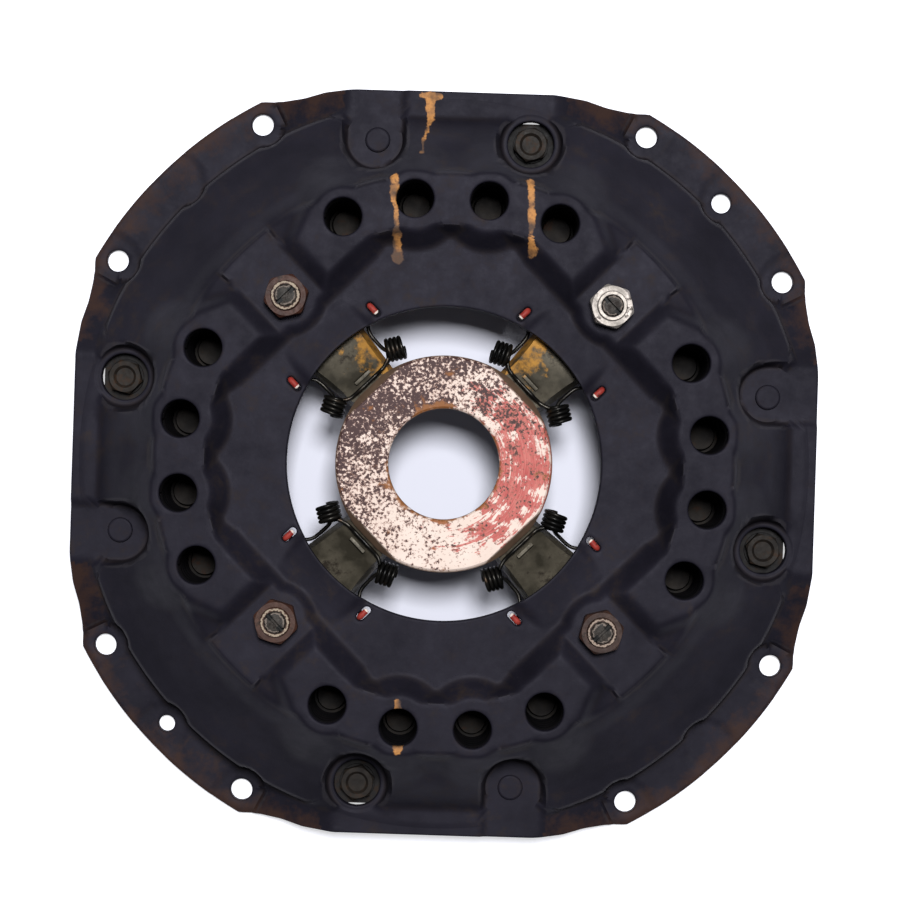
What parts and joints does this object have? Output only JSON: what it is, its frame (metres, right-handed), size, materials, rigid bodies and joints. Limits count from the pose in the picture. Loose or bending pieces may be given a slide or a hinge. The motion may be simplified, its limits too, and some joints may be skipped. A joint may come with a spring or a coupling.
{
  "type": "clutch pressure plate",
  "caption": "Coil-spring clutch cover assembly with pressed steel cover, pivoted release levers, release plate and strap-driven cast pressure plate.",
  "frame": {"origin": "centre of the cover flange on its mounting face, on the clutch axis", "axes": "+Z along the clutch axis from the flywheel towards the gearbox; +X and +Y through the middles of two side lands, so the release levers lie on the diagonals"},
  "size_m": [0.3744, 0.3744, 0.0736],
  "materials": {
    "cover_paint": "satin black paint on pressed steel, worn, with light rust on the edges",
    "plate_iron": "turned grey cast iron",
    "release_steel": "bright zinc plate with dark specks and red inspection paint",
    "lever_steel": "oiled dark forged steel with orange rust stain",
    "pin_steel": "ground steel",
    "bolt_steel": "phosphated steel",
    "nut_steel": "steel nuts with brown surface rust",
    "spring_steel": "blackened spring steel",
    "strap_steel": "blued spring strip"
  },
  "bodies": {
    "cover_group": {"cover": "cover_paint", "lever_pin_1": "pin_steel", "lever_pin_2": "pin_steel", "lever_pin_3": "pin_steel", "lever_pin_4": "pin_steel", "eyebolt_1": "bolt_steel", "eyebolt_2": "bolt_steel", "eyebolt_3": "bolt_steel", "eyebolt_4": "bolt_steel", "adjusting_nut_1": "nut_steel", "adjusting_nut_2": "nut_steel", "adjusting_nut_3": "nut_steel", "adjusting_nut_4": "nut_steel", "retaining_spring_1": "spring_steel", "retaining_spring_2": "spring_steel", "retaining_spring_3": "spring_steel", "retaining_spring_4": "spring_steel", "drive_straps_1": "strap_steel", "drive_straps_2": "strap_steel", "drive_straps_3": "strap_steel", "drive_straps_4": "strap_steel", "strap_rivets": "cover_paint", "thrust_spring_01": "spring_steel", "thrust_spring_02": "spring_steel", "thrust_spring_03": "spring_steel", "thrust_spring_04": "spring_steel", "thrust_spring_05": "spring_steel", "thrust_spring_06": "spring_steel", "thrust_spring_07": "spring_steel", "thrust_spring_08": "spring_steel", "thrust_spring_09": "spring_steel", "thrust_spring_10": "spring_steel", "thrust_spring_11": "spring_steel", "thrust_spring_12": "spring_steel", "thrust_spring_13": "spring_steel", "thrust_spring_14": "spring_steel", "thrust_spring_15": "spring_steel", "thrust_spring_16": "spring_steel"},
    "plate_group": {"pressure_plate": "plate_iron", "strut_1": "pin_steel", "strut_2": "pin_steel", "strut_3": "pin_steel", "strut_4": "pin_steel", "strap_bolts": "bolt_steel", "strap_washers": "bolt_steel"},
    "release_group": {"release_plate": "release_steel"},
    "lever_1": {"release_lever_1": "lever_steel"},
    "lever_2": {"release_lever_2": "lever_steel"},
    "lever_3": {"release_lever_3": "lever_steel"},
    "lever_4": {"release_lever_4": "lever_steel"}
  },
  "joints": [
    {"name": "pressure_plate_lift", "type": "slide", "parent": "cover_group", "child": "plate_group", "axis": [0, 0, 1], "range_m": [0, 0.0025], "stiffness_N_per_m": 10000, "springref_m": -0.004, "deforming": ["thrust_spring_01", "thrust_spring_02", "thrust_spring_03", "thrust_spring_04", "thrust_spring_05", "thrust_spring_06", "thrust_spring_07", "thrust_spring_08", "thrust_spring_09", "thrust_spring_10", "thrust_spring_11", "thrust_spring_12", "thrust_spring_13", "thrust_spring_14", "thrust_spring_15", "thrust_spring_16", "drive_straps_1", "drive_straps_2", "drive_straps_3", "drive_straps_4"]},
    {"name": "release_plate_travel", "type": "slide", "parent": "cover_group", "child": "release_group", "axis": [0, 0, -1], "range_m": [0, 0.0117], "deforming": ["retaining_spring_1", "retaining_spring_2", "retaining_spring_3", "retaining_spring_4"]},
    {"name": "lever_1_pivot", "type": "hinge", "parent": "cover_group", "child": "lever_1", "pos_m": [0.0792, 0.0792, 0.035], "axis": [0.7071, -0.7071, 0], "range_deg": [0, 10.65]},
    {"name": "lever_2_pivot", "type": "hinge", "parent": "cover_group", "child": "lever_2", "pos_m": [-0.0792, 0.0792, 0.035], "axis": [0.7071, 0.7071, 0], "range_deg": [0, 10.65]},
    {"name": "lever_3_pivot", "type": "hinge", "parent": "cover_group", "child": "lever_3", "pos_m": [-0.0792, -0.0792, 0.035], "axis": [-0.7071, 0.7071, 0], "range_deg": [0, 10.65]},
    {"name": "lever_4_pivot", "type": "hinge", "parent": "cover_group", "child": "lever_4", "pos_m": [0.0792, -0.0792, 0.035], "axis": [-0.7071, -0.7071, 0], "range_deg": [0, 10.65]}
  ],
  "couplings": [
    {"joint": "release_plate_travel", "follows": "pressure_plate_lift", "ratio": 4.656},
    {"joint": "lever_1_pivot", "follows": "pressure_plate_lift", "rad_per_m": 74.18},
    {"joint": "lever_2_pivot", "follows": "pressure_plate_lift", "rad_per_m": 74.18},
    {"joint": "lever_3_pivot", "follows": "pressure_plate_lift", "rad_per_m": 74.18},
    {"joint": "lever_4_pivot", "follows": "pressure_plate_lift", "rad_per_m": 74.18}
  ]
}
